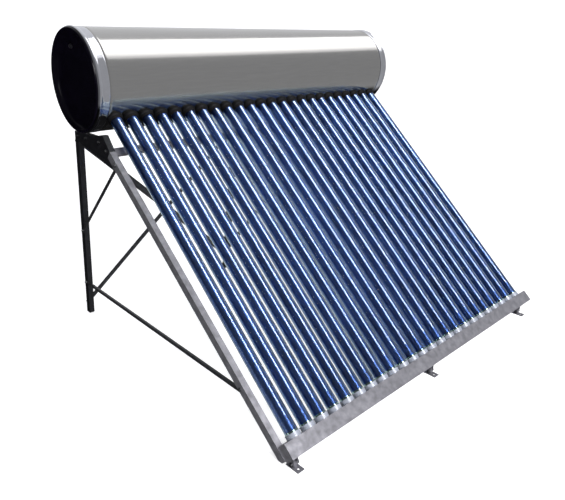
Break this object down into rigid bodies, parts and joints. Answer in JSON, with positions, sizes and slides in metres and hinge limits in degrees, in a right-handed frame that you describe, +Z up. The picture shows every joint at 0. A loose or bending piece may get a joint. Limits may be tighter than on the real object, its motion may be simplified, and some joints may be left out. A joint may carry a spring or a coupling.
{
  "type": "solar water heater",
  "caption": "Rooftop solar water heater: a horizontal insulated tank over a sloping row of vacuum glass tubes, on a three-frame steel stand with swivelling front feet.",
  "frame": {"origin": "on the ground, under the middle of the bounding box", "axes": "+X along the tank to the right seen from the tubes' side, +Y towards the back, +Z up"},
  "size_m": [2.044, 1.7203, 1.516],
  "materials": {
    "shell": "smooth stainless sheet, lightly brushed",
    "chrome": "bright polished",
    "black_cap": "gloss black",
    "glass": "clear outer tube over a dark blue coated inner tube",
    "steel": "galvanised grey",
    "dark_steel": "dark grey satin",
    "rubber": "matte black",
    "cup": "pale translucent grey",
    "foam": "cream foam",
    "inner": "plain stainless",
    "brass": "plain brass"
  },
  "bodies": {
    "heater": {"bottom_bar": "steel", "cold_inlet": "brass", "dust_seals": "rubber", "end_cap_left": "black_cap", "end_cap_right": "black_cap", "end_ring_left": "chrome", "end_ring_right": "chrome", "front_crossbar": "steel", "hot_outlet": "brass", "inner_tank": "inner", "insulation": "foam", "rail_left": "steel", "rail_middle": "steel", "rail_right": "steel", "rear_brace_falling_left": "dark_steel", "rear_brace_falling_right": "dark_steel", "rear_brace_rising_left": "dark_steel", "rear_brace_rising_right": "dark_steel", "rear_leg_left": "dark_steel", "rear_leg_middle": "dark_steel", "rear_leg_right": "dark_steel", "saddle_left": "dark_steel", "saddle_middle": "dark_steel", "saddle_right": "dark_steel", "side_brace_lower_left": "dark_steel", "side_brace_lower_right": "dark_steel", "side_brace_upper_left": "dark_steel", "side_brace_upper_right": "dark_steel", "tank_shell": "shell", "tube_cups": "cup", "vacuum_tube_01": "glass", "vacuum_tube_02": "glass", "vacuum_tube_03": "glass", "vacuum_tube_04": "glass", "vacuum_tube_05": "glass", "vacuum_tube_06": "glass", "vacuum_tube_07": "glass", "vacuum_tube_08": "glass", "vacuum_tube_09": "glass", "vacuum_tube_10": "glass", "vacuum_tube_11": "glass", "vacuum_tube_12": "glass", "vacuum_tube_13": "glass", "vacuum_tube_14": "glass", "vacuum_tube_15": "glass", "vacuum_tube_16": "glass", "vacuum_tube_17": "glass", "vacuum_tube_18": "glass", "vacuum_tube_19": "glass", "vacuum_tube_20": "glass", "vacuum_tube_21": "glass", "vacuum_tube_22": "glass", "vacuum_tube_23": "glass", "vacuum_tube_24": "glass", "vent_pipe": "brass"},
    "foot_left": {"foot_left": "steel"},
    "foot_middle": {"foot_middle": "steel"},
    "foot_right": {"foot_right": "steel"}
  },
  "joints": [
    {"name": "foot_left_swivel", "type": "hinge", "parent": "heater", "child": "foot_left", "pos_m": [-0.972, -0.8211, 0.015], "axis": [1, 0, 0], "range_deg": [-15, 12]},
    {"name": "foot_middle_swivel", "type": "hinge", "parent": "heater", "child": "foot_middle", "pos_m": [-0.047, -0.8211, 0.015], "axis": [1, 0, 0], "range_deg": [-15, 12]},
    {"name": "foot_right_swivel", "type": "hinge", "parent": "heater", "child": "foot_right", "pos_m": [0.874, -0.8211, 0.015], "axis": [1, 0, 0], "range_deg": [-15, 12]}
  ]
}
